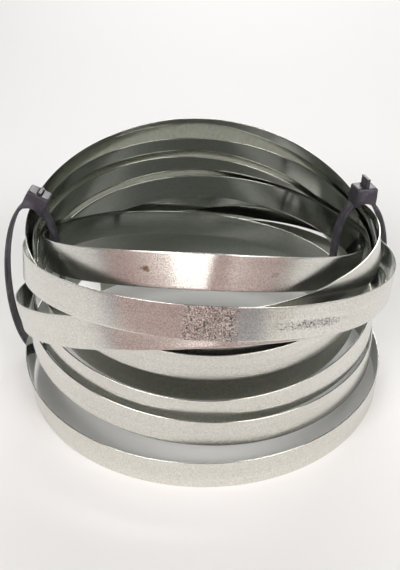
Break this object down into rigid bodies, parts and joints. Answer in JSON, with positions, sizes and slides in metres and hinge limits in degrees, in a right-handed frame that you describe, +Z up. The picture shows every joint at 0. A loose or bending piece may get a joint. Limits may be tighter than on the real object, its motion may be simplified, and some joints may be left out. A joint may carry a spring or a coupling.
{
  "type": "flat resistance wire coil",
  "caption": "Loose open hank of bright flat resistance strip with fanned, crossing turns, held by trimmed cable ties; stock to be cut to length for heating elements and resistors.",
  "frame": {"origin": "on the coil's axis, at the height of the floor that its last turn lies on", "axes": "+Z up along the coil's axis, -Y towards the picture's camera, +X to the picture's right"},
  "size_m": [0.1399, 0.1308, 0.0748],
  "materials": {
    "strip": "bright rolled, with fine lengthwise lines",
    "tie": "satin"
  },
  "bodies": {
    "root": {"resistance_strip": "strip", "cable_tie_left": "tie", "cable_tie_right": "tie"}
  },
  "joints": []
}
